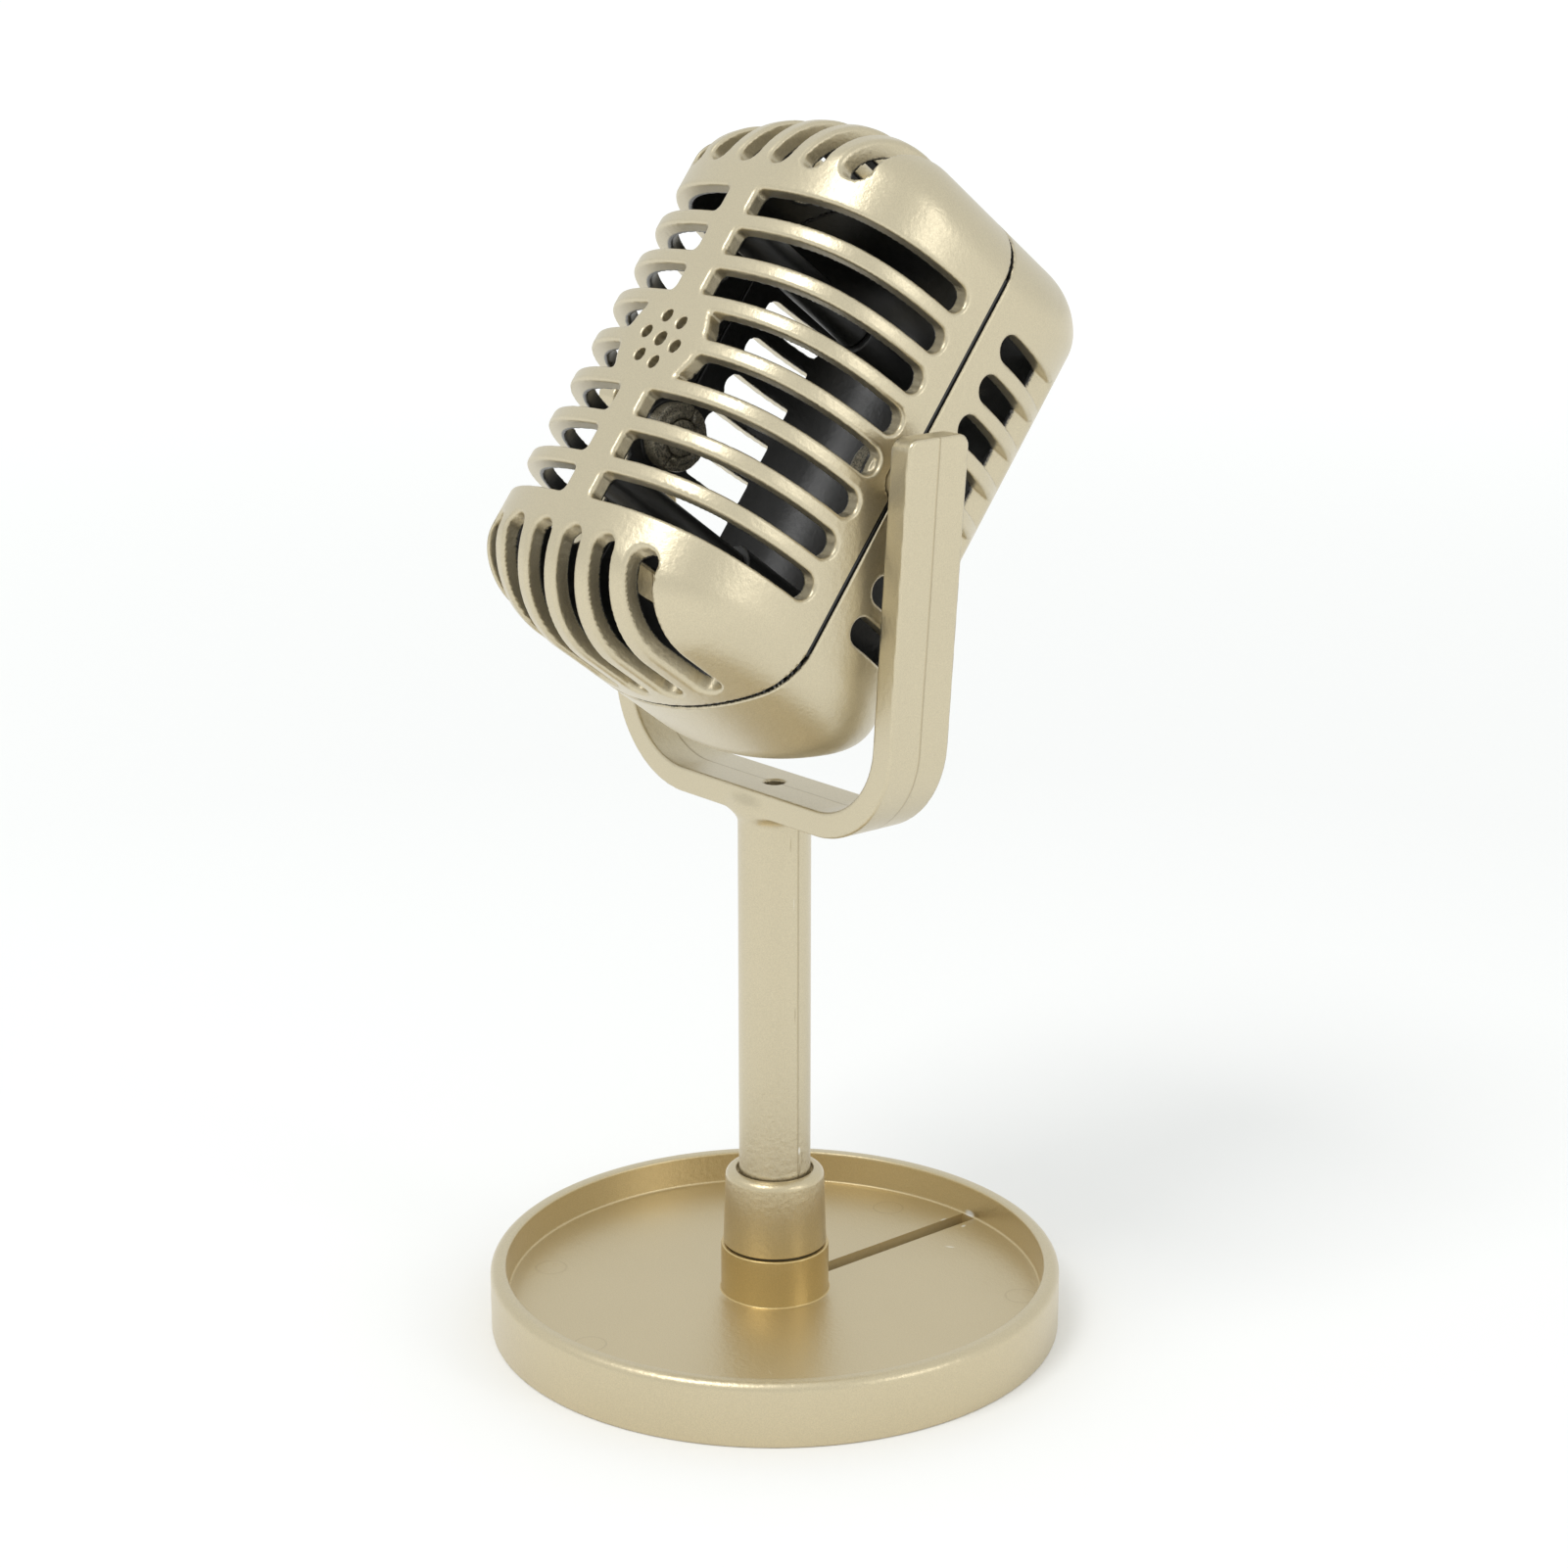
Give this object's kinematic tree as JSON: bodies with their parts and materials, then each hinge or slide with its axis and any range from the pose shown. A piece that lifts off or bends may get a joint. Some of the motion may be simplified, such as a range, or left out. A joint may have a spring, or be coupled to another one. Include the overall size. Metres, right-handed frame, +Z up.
{
  "type": "toy microphone",
  "caption": "Desk prop in the shape of a vintage stage microphone: a slotted two-part head on pegs in a U yoke, on a stem that turns in a round dish base",
  "frame": {"origin": "centre of the underside of the round base, on the table top", "axes": "+Z up along the stem, the head faces -Y (its front leans up), +X runs along the yoke's pivot axis toward one leg"},
  "size_m": [0.095, 0.095, 0.1964],
  "materials": {
    "satin_gold": "black moulded plastic sprayed with satin champagne-gold metallic paint",
    "screw_steel": "zinc-plated steel"
  },
  "bodies": {
    "base": {"base_dish": "satin_gold", "stem_foot": "satin_gold", "base_washer": "screw_steel"},
    "stand": {"yoke_stem": "satin_gold", "base_screw": "screw_steel"},
    "head": {"front_shell": "satin_gold", "back_shell": "satin_gold", "upper_shell_screw": "screw_steel", "lower_shell_screw": "screw_steel"}
  },
  "joints": [
    {"name": "stem_swivel", "type": "hinge", "parent": "base", "child": "stand", "pos_m": [0, 0, 0.05], "axis": [0, 0, 1], "continuous": true},
    {"name": "head_tilt", "type": "hinge", "parent": "stand", "child": "head", "pos_m": [0, 0, 0.14552], "axis": [1, 0, 0], "continuous": true}
  ]
}
